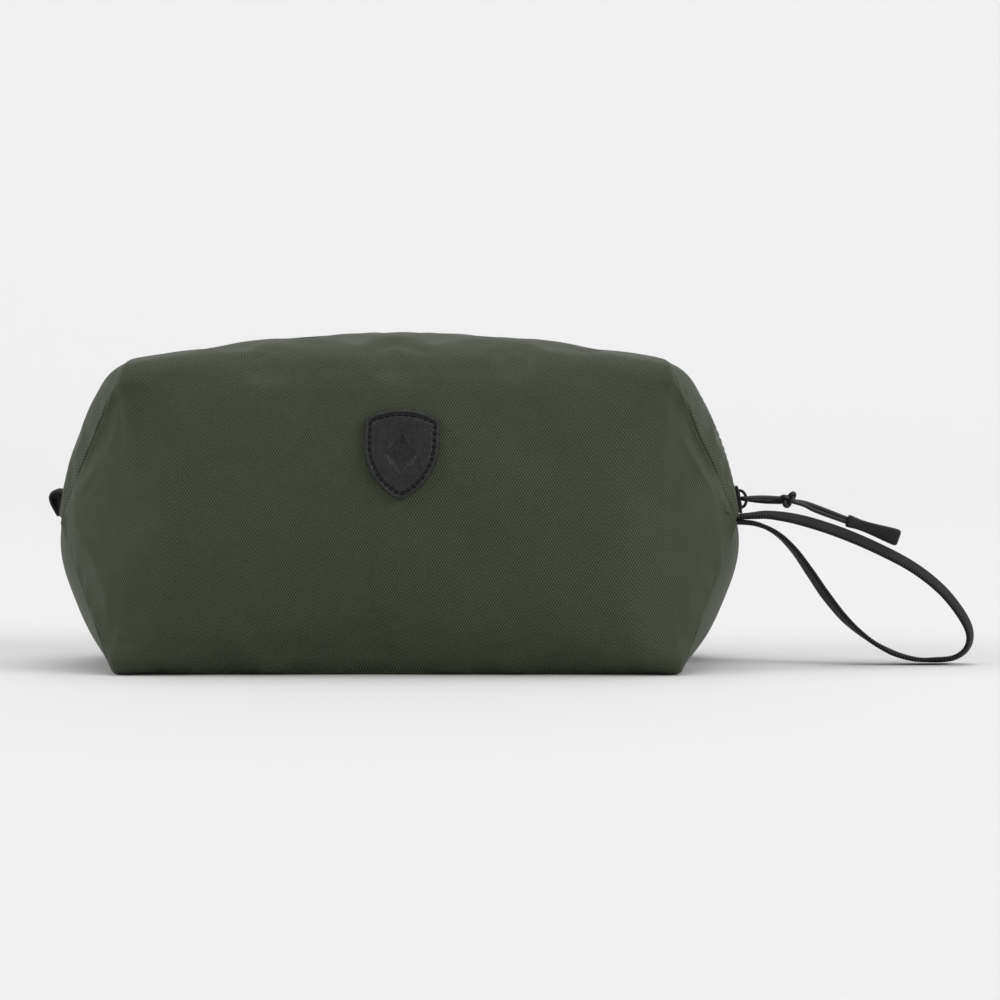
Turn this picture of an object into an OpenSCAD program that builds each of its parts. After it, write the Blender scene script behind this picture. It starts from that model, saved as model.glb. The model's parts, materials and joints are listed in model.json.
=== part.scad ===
// Zipped wash bag. A soft box closed by a zip that runs over the top and down both ends.
// Millimetres, +Z up. The origin is the middle of the flat base.
// +X points to the wrist strap, and -Y to the front.

/* [Body] */
// Length between the two end seams
body_l = 270; // [240:1:320]
// Height of the zip at mid-length
body_h = 131.5; // [126:0.5:160]
// Depth between the top edges at mid-length
top_d = 104; // [90:1:130]
// Depth between the top edges at the corners
corner_d = 94; // [80:1:120]
// How far in from each end seam the top corners lie
top_inset = 29; // [15:0.5:45]
// How far the face's top edge lies below the bag's top, at the middle
edge_drop = 4; // [2:0.5:8]
// How far the top corners lie below the bag's top
corner_drop = 10.5; // [6:0.5:16]
// How far the zip falls from the bag's top to its shoulders
shoulder_drop = 11.5; // [8:0.5:18]
// How far in from each end seam the base corners lie
base_inset = 25; // [15:0.5:40]
// Depth of the base
base_d = 108; // [90:1:130]
// Height of the end seams
end_h = 58; // [45:1:75]
// Width of the end seams
end_w = 36; // [32:1:50]
// Bulge of the front and back faces
face_crown = 8; // [2:0.5:14]
// Bulge of the lower end gussets
gusset_crown = 3; // [0.5:0.5:6]
// Rounding of the top edges
edge_r = 9; // [4:0.5:14]
// Rounding of the base edges
base_r = 7; // [4:0.5:10]

/* [Cloth] */
// Thickness of the coated outer fabric
shell_t = 0.9; // [0.5:0.1:1.4]
// Thickness of the foam padding
foam_t = 2; // [1:0.1:4]
// Thickness of the lining
lining_t = 0.4; // [0.2:0.1:0.8]
// Clearance between one ply and the next
ply_gap = 0.15; // [0.1:0.05:0.4]
// Clearance between panels where a seam joins them
seam_gap = 0.3; // [0.2:0.05:0.6]
// Width of the bound seam allowance inside
binding_w = 7; // [4:0.5:10]
// Thickness of the bound seam allowance
binding_t = 2; // [1:0.1:3]

/* [Zip] */
// Radius of the zip over each shoulder
shoulder_r = 22; // [15:1:30]
// Radius of the zip down each end
gusset_r = 130; // [110:1:160]
// Lean of the zip at the end seam, from upright
gusset_lean = 6; // [2:0.5:10]
// Distance from the middle of the zip to the folded edge of the fabric
lip = 6; // [5.5:0.1:8]
// Width of one half of the zip tape
tape_w = 15; // [12:0.5:16]
// Thickness of the zip tape
tape_t = 0.6; // [0.4:0.1:0.9]
// Width of one row of coil
coil_w = 2.6; // [2:0.1:3]
// Height of the coil
coil_h = 1.7; // [1.2:0.1:2.2]
// Gap between the two rows of coil
coil_gap = 1.6; // [1.4:0.1:2]
// Distance of the row of stitches from the folded edge
stitch_inset = 2; // [1:0.1:4]
// Thickness of the sewing thread
thread_d = 0.5; // [0.3:0.1:0.8]

/* [Slider] */
// Height of the middle of the slider when the zip is closed
slider_h = 65.5; // [64:0.5:75]
// Length of the slider
slider_l = 11; // [8:0.5:14]
// Thickness of the slider's two plates
plate_t = 1; // [0.8:0.1:1.5]
// Thickness of the slider's side flanges
flange_t = 1; // [0.8:0.1:1.5]
// Clearance round the coil and the tape
slider_gap = 0.2; // [0.15:0.05:0.4]
// Thickness of the slider's middle post
post_t = 0.9; // [0.6:0.1:1]
// Width of the bridge that holds the pull
crown_w = 1.8; // [1.4:0.1:2.4]
// Radius of the hole in the bridge
crown_hole_r = 1.25; // [1.2:0.05:1.6]
// Metal round the hole in the bridge
crown_wall = 0.9; // [0.7:0.1:1.2]

/* [Pull] */
// Diameter of the pull's cord
cord_d = 1.8; // [1.4:0.1:2]
// Radius of the knot
knot_r = 3.2; // [2.6:0.1:4]
// Length of the moulded end
grip_l = 22; // [16:1:30]
// Width of the moulded end at its cord
grip_neck = 4.8; // [4.4:0.1:6]
// Width of the moulded end at its tip
grip_tip = 6.2; // [5:0.1:8]
// Thickness of the moulded end
grip_t = 5; // [4.4:0.1:6]
// Rounding of the moulded end's corners
grip_r = 1; // [0.5:0.1:2]

/* [Wrist strap] */
// Width of the webbing
strap_w = 10; // [8:0.5:12]
// Thickness of the webbing
strap_t = 1.6; // [1:0.1:2]
// Chamfer along the edges of the webbing
strap_chamfer = 0.4; // [0.2:0.1:0.5]

/* [End tab] */
// Length of the folded tab along the seam
tab_w = 20; // [12:1:28]
// Radius of the tab's fold
tab_r = 2; // [1.5:0.1:4]
// How far the fold stands out from the seam
tab_l = 9; // [7:0.5:14]
// Thickness of the tab's tape
tab_t = 1.1; // [0.8:0.1:1.6]

/* [Patch] */
// Width of the leather patch
patch_w = 28.5; // [20:0.5:36]
// Height of the leather patch
patch_h = 34.5; // [24:0.5:44]
// Thickness of the leather patch
patch_t = 2; // [1.4:0.1:3]
// Height of the middle of the patch, as a share of the face from the base edge
patch_place = 0.672; // [0.4:0.005:0.7]
// Tilt of the patch in the plane of the face
patch_turn = -2; // [-5:1:5]
// How far the patch sits to the right of the middle
patch_side = 2; // [-10:0.5:10]
// Radius of the patch's arched top
patch_arch_r = 27; // [20:1:50]
// Height of the patch's widest line above its middle
patch_waist = 4; // [0:0.5:8]
// Distance from the patch's edge to its stitched groove
groove_inset = 1.8; // [1.2:0.1:3]
// Width of the stitched groove
groove_w = 0.9; // [0.6:0.1:1.4]
// Depth of the stitched groove and of the pressed lozenge
groove_t = 0.5; // [0.3:0.1:0.8]
// Half-diagonal of the pressed lozenge
lozenge_r = 6.5; // [4:0.5:9]

/* [Hidden] */

$fn = 64;

// Steps along the zip's top, shoulder and end, for the outer fabric and for the plies inside it
fine_steps = [5, 5, 6];
coarse_steps = [3, 2, 3];
gusset_steps = 4;
face_steps = 4;
edge_steps = 3;
// Lengths and heights that follow the bag's own length and height
top_l = body_l - 2 * top_inset;
base_l = body_l - 2 * base_inset;
edge_h = body_h - edge_drop;
corner_h = body_h - corner_drop;
shoulder_h = body_h - shoulder_drop;
// How far along the ends each ply and the zip run, where 1 is the end seam
shell_reach = 0.965;
zip_reach = 0.965;
inner_reach = 0.86;
// Depth of each ply below the outer surface
foam_depth = shell_t + 2 * ply_gap;
lining_depth = foam_depth + foam_t + ply_gap;
binding_depth = lining_depth + lining_t + 1;
// Growth of the seam's gap with depth, where the front and base plies lean towards each other
seam_draft = 0.35;
// The lining's edge stays clear of the slider, and the foam's edge of the tape
lining_lip = lip + 2;
foam_lip = tape_w + 2;
tape_edge = tape_w + 0.5;

// Depth of the tape's top face below the outer surface, and the levels of the coil and slider
tape_depth = shell_t + ply_gap;
coil_base = tape_depth - 0.05;
coil_top = coil_h - coil_base;
slider_w = coil_gap + 2 * (coil_w + slider_gap + flange_t);
plate_floor = coil_top + slider_gap;
plate_top = plate_floor + plate_t;
slot_top = slider_gap - tape_depth;
slot_floor = -tape_depth - tape_t - slider_gap;
crown_level = plate_top + cord_d / 2 + 0.3;

// Circles of the zip's line, in the XZ plane: top, end and the shoulder between them
top_r = (pow(top_l / 2, 2) + pow(shoulder_drop, 2)) / (2 * shoulder_drop);
top_c = [0, body_h - top_r];
gusset_c = [body_l / 2 - gusset_r * cos(gusset_lean), end_h - gusset_r * sin(gusset_lean)];
shoulder_c = circles_meet(top_c, top_r - shoulder_r, gusset_c, gusset_r - shoulder_r);
top_angle = atan2(shoulder_c.x - top_c.x, shoulder_c.y - top_c.y);
gusset_angle = atan2(shoulder_c.y - gusset_c.y, shoulder_c.x - gusset_c.x);
shoulder_len = shoulder_r * (90 - gusset_angle - top_angle);
gusset_len = gusset_r * (gusset_angle - gusset_lean);
shoulder_share = shoulder_len / (shoulder_len + gusset_len);
slider_angle = asin((slider_h - gusset_c.y) / gusset_r);
slider_span = slider_l / gusset_r * 180 / PI;

hinge = [
    gusset_c.x + (gusset_r + crown_level) * cos(slider_angle), 0,
    gusset_c.y + (gusset_r + crown_level) * sin(slider_angle)
];
// Places on the pull when it rests, from the bridge outward
knot_c = hinge + [17.75, 1, -0.8];
grip_start = knot_c + [24.4, 3, -8.2];
grip_slope = 19;
loop_half = crown_w / 2 + 0.3 + cord_d / 2;
loop_turn = 0.8 * cord_d;

// Place of the tab's foot, off the coil and up from the end seam, and its lean in degrees
tab_gap = 1;
tab_rise = 1.5;
tab_lean = 8;

// Middle line of the wrist strap from its end seam, with the roll of the webbing at each point
strap_route = [
    [-1.6, -6, 58.9, 0], [5, -6, 59.4, 2], [13, -6, 59.7, 5], [26, -6, 57.4, 8],
    [42, -6, 52.2, 9], [58, -6, 45.2, 9], [71, -6, 38, 9], [82, -6, 29, 9],
    [90, -6, 18.6, 9], [92.6, -6, 11.5, 8], [91, -6, 6, 7], [86, -6, 2.6, 5],
    [78, -6, 1.8, 4], [70, -6, 2.2, 1], [61, -6.5, 5, -1], [52, -7, 10.2, 1],
    [43, -7, 17.8, 5], [35, -7, 27.5, 7], [28.5, -7, 37, 6], [22, -6.5, 46, 4],
    [15, -6, 52.6, 2], [7, -6, 56.2, 0], [-1.6, -6, 57, 0]
];
strap_smoothing = 3;

function lerp(a, b, t) = a + (b - a) * t;
function unit(v) = v / norm(v);
function toward(a, b, d) = a + unit(b - a) * d;
function bend(a, b, c, t) = lerp(lerp(a, b, t), lerp(b, c, t), t);
function circles_meet(a, ra, b, rb) =
    let(d = norm(b - a), u = (b - a) / d, along = (ra * ra - rb * rb + d * d) / (2 * d))
    a + along * u + sqrt(ra * ra - along * along) * [u.y, -u.x];

// A station is [x, z, share of the half-length, share of the way from the shoulder to the end seam]
function top_station(a) =
    [top_c.x + top_r * sin(a), top_c.y + top_r * cos(a), sin(a) / sin(top_angle), 0];
function shoulder_station(t) =
    let(a = lerp(top_angle, 90 - gusset_angle, t))
    [shoulder_c.x + shoulder_r * sin(a), shoulder_c.y + shoulder_r * cos(a), 1, shoulder_share * t];
function gusset_station(k) =
    let(a = lerp(gusset_angle, gusset_lean, (k - shoulder_share) / (1 - shoulder_share)))
    [gusset_c.x + gusset_r * cos(a), gusset_c.y + gusset_r * sin(a), 1, k];
function half_line(n, reach) = concat(
    [for (i = [0:n[0]]) top_station(top_angle * i / n[0])],
    [for (i = [1:n[1]]) shoulder_station(i / n[1])],
    [for (i = [1:n[2]]) gusset_station(lerp(shoulder_share, reach, i / n[2]))]
);
function whole_line(n, reach) =
    let(half = half_line(n, reach), far = len(half) - 1)
    concat([for (i = [far:-1:1]) [-half[i][0], half[i][1], -half[i][2], half[i][3]]], half);
// Direction out of the bag at a station, square to the zip
function station_out(st) =
    let(c = st[3] == 0 ? top_c : st[3] > shoulder_share ? gusset_c : shoulder_c,
        v = unit([abs(st[0]) - c.x, st[1] - c.y]))
    [st[0] < 0 ? -v.x : v.x, 0, v.y];

// Lines where the front face meets the top and upper gussets, the base and lower gussets
function seam_end(s) = [s * (body_l / 2 - 1), -end_w / 2, end_h];
function top_corner(s) = [s * top_l / 2, -corner_d / 2, corner_h];
function base_corner(s) = [s * base_l / 2, -base_d / 2, 0];
function top_edge(st) =
    let(s = sign(st[2]), bow = 1 - st[2] * st[2])
    st[3] > 0 ? lerp(top_corner(s), seam_end(s), st[3])
    : [st[2] * top_l / 2, -lerp(corner_d, top_d, bow) / 2, lerp(corner_h, edge_h, bow)];
function base_edge(st) =
    st[3] > 0 ? lerp(base_corner(sign(st[2])), seam_end(sign(st[2])), st[3])
    : [st[2] * base_l / 2, -base_d / 2, 0];
function base_middle(st) =
    let(s = sign(st[2]), k = st[3],
        foot = [s * base_l / 2, 0, 0], tip = [s * (body_l / 2 - 0.6), 0, end_h],
        out = unit([s * end_h, 0, -(body_l - base_l) / 2]))
    k > 0 ? lerp(foot, tip, k) + out * gusset_crown * 4 * k * (1 - k)
    : [st[2] * base_l / 2, 0, 0];
function edge_round(st) = min(edge_r, 0.3 * norm(top_edge(st) - base_edge(st)));
function base_round(st) = min(base_r, 0.3 * norm(top_edge(st) - base_edge(st)));
function base_hem(st) = toward(base_edge(st), base_middle(st), base_round(st));
function crown(st) = face_crown * (st[3] > 0 ? 0.65 * (1 - st[3]) : 1 - 0.35 * st[2] * st[2]);

// Point on the front face, from 0 at the top edge to 1 at the base edge
function face_point(st, t) =
    lerp(top_edge(st), base_edge(st), t) - [0, crown(st) * sin(180 * t), 0];

// One cross-section of the front panel, from the zip to the base
function section(st, start) =
    let(e = top_edge(st), f = base_edge(st), r = edge_round(st), q = base_round(st),
        brink = [st[0], -tape_edge, st[1]], past = max(0, start - tape_edge),
        first = past > 0 ? toward(brink, e, past) : [st[0], -start, st[1]],
        second = toward(brink, e, past > 0 ? past + 0.5 : 0),
        a = toward(e, second, min(r, 0.8 * norm(second - e))), c = toward(e, f, r), d = toward(f, e, q))
    concat(
        [first, second],
        [for (i = [0:edge_steps]) bend(a, e, c, i / edge_steps)],
        [for (i = [1:face_steps - 1])
            lerp(c, d, i / face_steps) - [0, crown(st) * sin(180 * i / face_steps), 0]],
        [for (i = [0:edge_steps - 1]) bend(d, f, base_hem(st), i / (edge_steps - 1))]
    );

// Outward normal of a grid of points
function grid_normal(g, i, j) =
    let(du = g[min(i + 1, len(g) - 1)][j] - g[max(i - 1, 0)][j],
        dv = g[i][min(j + 1, len(g[0]) - 1)] - g[i][max(j - 1, 0)])
    unit(cross(dv, du));
function sunk(g, depth) =
    [for (i = [0:len(g) - 1]) [for (j = [0:len(g[0]) - 1]) g[i][j] - grid_normal(g, i, j) * depth]];

// Closed slab between two grids of points
module slab(outer, inner) {
    rows = len(outer);
    cols = len(outer[0]);
    o = function(i, j) i * cols + j;
    q = function(i, j) rows * cols + i * cols + j;
    far = rows - 1;
    low = cols - 1;
    polyhedron(
        points = concat([for (row = outer) each row], [for (row = inner) each row]),
        faces = concat(
            [for (i = [0:far - 1], j = [0:low - 1]) each [
                [o(i, j), o(i + 1, j), o(i + 1, j + 1)], [o(i, j), o(i + 1, j + 1), o(i, j + 1)],
                [q(i, j), q(i + 1, j + 1), q(i + 1, j)], [q(i, j), q(i, j + 1), q(i + 1, j + 1)]
            ]],
            [for (i = [0:far - 1]) each [
                [o(i + 1, 0), o(i, 0), q(i, 0)], [o(i + 1, 0), q(i, 0), q(i + 1, 0)],
                [o(i, low), o(i + 1, low), q(i + 1, low)], [o(i, low), q(i + 1, low), q(i, low)]
            ]],
            [for (j = [0:low - 1]) each [
                [o(0, j), o(0, j + 1), q(0, j + 1)], [o(0, j), q(0, j + 1), q(0, j)],
                [o(far, j + 1), o(far, j), q(far, j)], [o(far, j + 1), q(far, j), q(far, j + 1)]
            ]]
        )
    );
}

// One ply of the front panel
module front_ply(steps, reach, start, depth, t) {
    grid = [for (st = whole_line(steps, reach)) section(st, start)];
    slab(sunk(grid, depth), sunk(grid, depth + t));
}

// One ply of the base, a flat plate with a gusset rising at each end
module base_ply(reach, depth, t) {
    gap = seam_gap + seam_draft * (depth + t);
    half_d = base_d / 2 - base_r - gap;
    translate([-base_l / 2, -half_d, depth]) cube([base_l, 2 * half_d, t]);
    for (side = [0, 1]) mirror([side, 0, 0]) lower_gusset(reach, depth, t, gap);
}

module lower_gusset(reach, depth, t, gap) {
    stations = [for (i = [0:gusset_steps]) [0, 0, 1, reach * i / gusset_steps]];
    grid = [for (st = stations) let(hem = base_hem(st), mid = base_middle(st)) [
        for (v = [-1:0.5:1])
            [lerp(hem.x, mid.x, 1 - v * v), -v * (hem.y + gap), lerp(hem.z, mid.z, 1 - v * v)]
    ]];
    rise = function(g, d)
        concat([[for (p = g[0]) p + [0, 0, d]]], [for (i = [1:len(g) - 1]) sunk(g, d)[i]]);
    slab(rise(grid, depth), rise(grid, depth + t));
}

module outer_fabric() { color("darkolivegreen") front_ply(fine_steps, shell_reach, lip, 0, shell_t); }
module padding() { color("gainsboro") front_ply(coarse_steps, inner_reach, foam_lip, foam_depth, foam_t); }
module inner_cloth() {
    color("dimgray") front_ply(coarse_steps, inner_reach, lining_lip, lining_depth, lining_t);
}

module front_shell() { outer_fabric(); }
module back_shell() { mirror([0, 1, 0]) outer_fabric(); }
module base_shell() { color("darkolivegreen") base_ply(shell_reach, 0, shell_t); }
module front_foam() { padding(); }
module back_foam() { mirror([0, 1, 0]) padding(); }
module base_foam() { color("gainsboro") base_ply(inner_reach, foam_depth, foam_t); }
module front_lining() { inner_cloth(); }
module back_lining() { mirror([0, 1, 0]) inner_cloth(); }
module base_lining() { color("dimgray") base_ply(inner_reach, lining_depth, lining_t); }

// A straight bound seam between two points, standing inward
module bound_seam(a, b, inward) {
    across = unit(cross(b - a, inward)) * binding_t / 2;
    rows = [for (p = [a, b]) [p - across, p + across]];
    slab(rows, [for (row = rows) [for (p = row) p + inward * binding_w]]);
}

module corner_bindings() {
    color("black")
    for (x = [0, 1], y = [0, 1]) mirror([x, 0, 0]) mirror([0, y, 0])
        for (corner = [top_corner(1), base_corner(1)]) {
            inward = unit([-0.5, 0.8, corner.z > end_h ? -0.55 : 0.55]);
            from = lerp(corner, seam_end(1), 0.12) + inward * 2 * binding_depth;
            to = lerp(corner, seam_end(1), 0.72) + inward * 2 * binding_depth;
            bound_seam(from, to, inward);
        }
}

module end_bindings() {
    color("black")
    for (x = [0, 1]) mirror([x, 0, 0])
        translate([body_l / 2 - 4 - binding_w, 1 - end_w / 2, end_h - binding_t / 2])
            cube([binding_w, end_w - 2, binding_t]);
}

// Part of a ring round the Y axis, between two radii, two depths and two angles from +X
module ring_part(centre, r0, r1, y0, y1, a0, a1) {
    translate([centre.x, 0, centre.y]) rotate([90, 0, 0]) rotate([0, 0, a0])
        rotate_extrude(angle = a1 - a0) translate([r0, -y1]) square([r1 - r0, y1 - y0]);
}

// A band that follows the whole zip, between two levels from the outer surface and two depths
module zip_band(low, high, y0, y1) {
    skin([for (st = whole_line(fine_steps, zip_reach)) let(p = [st[0], 0, st[1]], out = station_out(st)) [
        p + out * low + [0, y0, 0], p + out * low + [0, y1, 0],
        p + out * high + [0, y1, 0], p + out * high + [0, y0, 0]
    ]]);
}

module half_tape() { color("black") zip_band(-tape_depth - tape_t, -tape_depth, -tape_w, -coil_gap / 2); }
module half_coil() { color("black") zip_band(-coil_base, coil_top, -coil_gap / 2 - coil_w, -coil_gap / 2); }
module half_stitching() {
    seam_y = lip + stitch_inset;
    color("darkslategray")
        zip_band(0.05, 0.05 + thread_d / 2, -seam_y - thread_d / 2, -seam_y + thread_d / 2);
}

module zip_tape_front() { half_tape(); }
module zip_tape_back() { mirror([0, 1, 0]) half_tape(); }
module zip_coil_front() { half_coil(); }
module zip_coil_back() { mirror([0, 1, 0]) half_coil(); }
module zip_stitching_front() { half_stitching(); }
module zip_stitching_back() { mirror([0, 1, 0]) half_stitching(); }

// A part of the slider that follows the zip, between two levels and two depths
module slider_part(low, high, y0, y1, from = -0.5, to = 0.5) {
    ring_part(gusset_c, gusset_r + low, gusset_r + high, y0, y1,
        slider_angle + from * slider_span, slider_angle + to * slider_span);
}

module slider_body() {
    color("black") {
        slider_part(plate_floor, plate_top, -slider_w / 2, slider_w / 2);
        slider_part(slot_floor - plate_t, slot_floor, -slider_w / 2, slider_w / 2);
        for (y = [-slider_w / 2, slider_w / 2 - flange_t])
            slider_part(slot_top, plate_floor, y, y + flange_t);
        slider_part(slot_floor, plate_floor, -post_t / 2, post_t / 2, -0.5, -0.2);
    }
}

module slider_crown() {
    outer_r = crown_hole_r + crown_wall;
    color("black")
    translate(hinge) rotate([0, -slider_angle, 0]) difference() {
        union() {
            rotate([90, 0, 0]) cylinder(r = outer_r, h = crown_w, center = true);
            translate([plate_top - crown_level + 0.02, -crown_w / 2, -outer_r])
                cube([crown_level - plate_top, crown_w, 2 * outer_r]);
        }
        rotate([90, 0, 0]) cylinder(r = crown_hole_r, h = crown_w + 1, center = true);
        translate([-outer_r - crown_level + plate_top, -crown_w, -2 * outer_r])
            cube([outer_r + 0.02, 2 * crown_w, 4 * outer_r]);
    }
}

// Closed tube through rings that hold the same number of points
module skin(rings) {
    n = len(rings[0]);
    last = len(rings) - 1;
    polyhedron(
        points = [for (ring = rings) each ring],
        faces = concat(
            [[for (j = [n - 1:-1:0]) j]],
            [[for (j = [0:n - 1]) last * n + j]],
            [for (i = [0:last - 1], j = [0:n - 1]) let(k = (j + 1) % n) each [
                [i * n + j, i * n + k, (i + 1) * n + k], [i * n + j, (i + 1) * n + k, (i + 1) * n + j]
            ]]
        )
    );
}

// Smooth line through a list of points
function spline_point(p, i, t) =
    let(a = p[max(i - 1, 0)], b = p[i], c = p[i + 1], d = p[min(i + 2, len(p) - 1)])
    0.5 * (2 * b + (c - a) * t + (2 * a - 5 * b + 4 * c - d) * t * t
        + (3 * b - a - 3 * c + d) * t * t * t);
function smooth_line(p, n) =
    concat([for (i = [0:len(p) - 2], s = [0:n - 1]) spline_point(p, i, s / n)], [p[len(p) - 1]]);
function heading(p, i) = unit(p[min(i + 1, len(p) - 1)] - p[max(i - 1, 0)]);

// Ring of points of a flat outline round a place, facing along a heading
function ring(place, along, outline, roll = 0) =
    let(ref = abs(along.y) > 0.9 ? [0, 0, 1] : [0, 1, 0],
        up = unit(cross(along, ref)), wide = cross(up, along))
    [for (o = outline) place
        + (o.x * cos(roll) - o.y * sin(roll)) * wide + (o.x * sin(roll) + o.y * cos(roll)) * up];

function round_outline(d) = [for (a = [22.5:45:360]) d / 2 * [cos(a), sin(a)]];
strap_outline = let(w = strap_w / 2, t = strap_t / 2, c = strap_chamfer) [
    [w, c - t], [w, t - c], [w - c, t], [c - w, t], [-w, t - c], [-w, c - t], [c - w, -t], [w - c, -t]
];

module cord(route, n) {
    line = smooth_line(route, n);
    skin([for (i = [0:len(line) - 1]) ring(line[i], heading(line, i), round_outline(cord_d))]);
}

// Half of the loop through the bridge, mirrored so that both strands meet at its middle
pull_half = [
    [knot_c.x - knot_r - 0.2, -cord_d / 2 - 0.1, knot_c.z],
    [(knot_c.x + hinge.x) / 2, -0.5 - loop_half / 2, (knot_c.z + hinge.z) / 2],
    [hinge.x + 2.5, -loop_half, hinge.z],
    [hinge.x + loop_turn / 2, -loop_half, hinge.z],
    [hinge.x, -loop_half + loop_turn / 2, hinge.z]
];
pull_route = concat(pull_half,
    [for (i = [len(pull_half) - 1:-1:0]) [pull_half[i].x, -pull_half[i].y, pull_half[i].z]]);

module pull_cord() { color("black") cord(pull_route, 2); }

module pull_knot() {
    ring_r = knot_r * 0.58;
    color("black") translate([knot_c.x, 0, knot_c.z]) {
        sphere(r = ring_r + 0.4);
        for (turn = [[90, 35, 0], [90, -35, 0], [20, 90, 0]])
            rotate(turn) rotate_extrude() translate([ring_r, 0]) circle(d = 1.35 * cord_d);
    }
}

module pull_tail() {
    middle = lerp(knot_c, grip_start, 0.5) + [0, 0, 0.6];
    stop = grip_start - 0.2 * [cos(grip_slope), 0, -sin(grip_slope)];
    color("black")
    for (y = [-1, 1] * (cord_d / 2 + 0.1))
        cord([[knot_c.x + knot_r + 0.2, y, knot_c.z - 0.3], middle + [0, y, 0], stop + [0, y, 0]], 3);
}

module pull_end() {
    color("black")
    translate(grip_start) rotate([90, grip_slope, 0]) linear_extrude(grip_t, center = true)
        offset(grip_r) polygon([
            [grip_r, grip_neck / 2 - grip_r], [grip_l * 0.45, grip_neck / 2 - grip_r],
            [grip_l - grip_r, grip_tip / 2 - grip_r], [grip_l - grip_r, grip_r - grip_tip / 2],
            [grip_l * 0.45, grip_r - grip_neck / 2], [grip_r, grip_r - grip_neck / 2]
        ]);
}

module wrist_strap() {
    points = [for (p = strap_route) [p.x + body_l / 2, p.y, p.z]];
    line = smooth_line(points, strap_smoothing);
    roll = function(i) let(k = floor(i / strap_smoothing), t = i / strap_smoothing - k)
        lerp(strap_route[k][3], strap_route[min(k + 1, len(strap_route) - 1)][3], t);
    color("black")
        skin([for (i = [0:len(line) - 1]) ring(line[i], heading(line, i), strap_outline, roll(i))]);
}

// A tape folded into a leaf-shaped loop, which stands off the left end of the zip
module tab_leaf() {
    hull() {
        translate([tab_l - tab_r, tab_r]) circle(r = tab_r);
        square([tab_t, 2 * tab_t]);
    }
}

module end_tab() {
    color("black")
    translate([-body_l / 2 - tab_gap, 0, end_h + tab_rise]) rotate([90, 0, 0])
        linear_extrude(tab_w, center = true) rotate(90 + tab_lean) difference() {
            tab_leaf();
            offset(delta = -tab_t) tab_leaf();
        }
}

// Outline of the patch, drawn in by an inset from its edge
module shield(inset) {
    half = patch_w / 2 - inset;
    drop = patch_h / 2 + patch_waist - inset * 1.25;
    side_r = (half * half + drop * drop) / (2 * half);
    intersection() {
        union() {
            intersection() {
                translate([half - side_r, patch_waist]) circle(r = side_r);
                translate([side_r - half, patch_waist]) circle(r = side_r);
                translate([-half, patch_waist - drop]) square([2 * half, drop]);
            }
            translate([-half, patch_waist]) square([2 * half, patch_h]);
        }
        translate([0, patch_h / 2 - inset - patch_arch_r]) circle(r = patch_arch_r);
    }
}

// Places a flat piece on the front face, with its back on the fabric
module on_face() {
    mid = top_station(0);
    t = 1 - patch_place;
    p = face_point(mid, t);
    slope = face_point(mid, t - 0.01) - face_point(mid, t + 0.01);
    translate(p + [patch_side, 0, 0]) rotate([90 - atan2(slope.y, slope.z), 0, 0]) rotate([0, 0, patch_turn])
        translate([0, 0, ply_gap]) children();
}

module shield_patch() {
    color("black") on_face() difference() {
        linear_extrude(patch_t) shield(0);
        translate([0, 0, patch_t - groove_t]) linear_extrude(patch_t) difference() {
            shield(groove_inset);
            shield(groove_inset + groove_w);
        }
        translate([0, 0, patch_t - groove_t]) linear_extrude(patch_t) rotate(45)
            square(lozenge_r * sqrt(2), center = true);
    }
}

module patch_stitching() {
    margin = (groove_w - thread_d) / 2;
    stitch_turn = 10;
    color("dimgray") on_face() translate([0, 0, patch_t - groove_t + 0.05])
        linear_extrude(groove_t) difference() {
            shield(groove_inset + margin);
            shield(groove_inset + margin + thread_d);
            for (a = [0:stitch_turn:179]) rotate(a) square([2 * patch_h, thread_d], center = true);
        }
}

front_shell();
back_shell();
base_shell();
front_foam();
back_foam();
base_foam();
front_lining();
back_lining();
base_lining();
corner_bindings();
end_bindings();
zip_tape_front();
zip_tape_back();
zip_coil_front();
zip_coil_back();
zip_stitching_front();
zip_stitching_back();
slider_body();
slider_crown();
pull_cord();
pull_knot();
pull_tail();
pull_end();
wrist_strap();
end_tab();
shield_patch();
patch_stitching();
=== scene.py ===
import bmesh
import bpy
import json
import math
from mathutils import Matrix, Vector, noise
from mathutils.bvhtree import BVHTree


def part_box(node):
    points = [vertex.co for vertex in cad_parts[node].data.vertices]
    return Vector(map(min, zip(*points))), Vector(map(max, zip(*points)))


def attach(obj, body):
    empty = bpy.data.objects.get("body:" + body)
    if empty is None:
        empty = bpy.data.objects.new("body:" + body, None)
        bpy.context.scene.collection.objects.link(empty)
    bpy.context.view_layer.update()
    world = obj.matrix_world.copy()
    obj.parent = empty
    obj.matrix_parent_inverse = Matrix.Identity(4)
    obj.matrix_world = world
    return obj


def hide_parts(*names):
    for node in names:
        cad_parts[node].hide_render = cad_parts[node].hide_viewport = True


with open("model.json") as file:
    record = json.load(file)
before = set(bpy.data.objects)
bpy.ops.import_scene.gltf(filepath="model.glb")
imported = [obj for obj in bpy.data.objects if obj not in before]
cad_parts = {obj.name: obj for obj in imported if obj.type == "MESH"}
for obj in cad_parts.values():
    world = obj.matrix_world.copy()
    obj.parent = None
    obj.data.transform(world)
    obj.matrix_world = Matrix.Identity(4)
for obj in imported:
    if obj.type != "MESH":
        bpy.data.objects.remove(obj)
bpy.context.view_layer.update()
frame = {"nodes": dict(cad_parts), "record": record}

mm = 0.001
joints = {joint["name"]: joint for joint in frame["record"]["behaviour"]["joints"]}

# camera: the lens in millimetres, the rest in metres and degrees

view = dict(lens=135, distance=1.5, elevation=3.0, aim=(0.040, 0.0, 0.0654))


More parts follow.
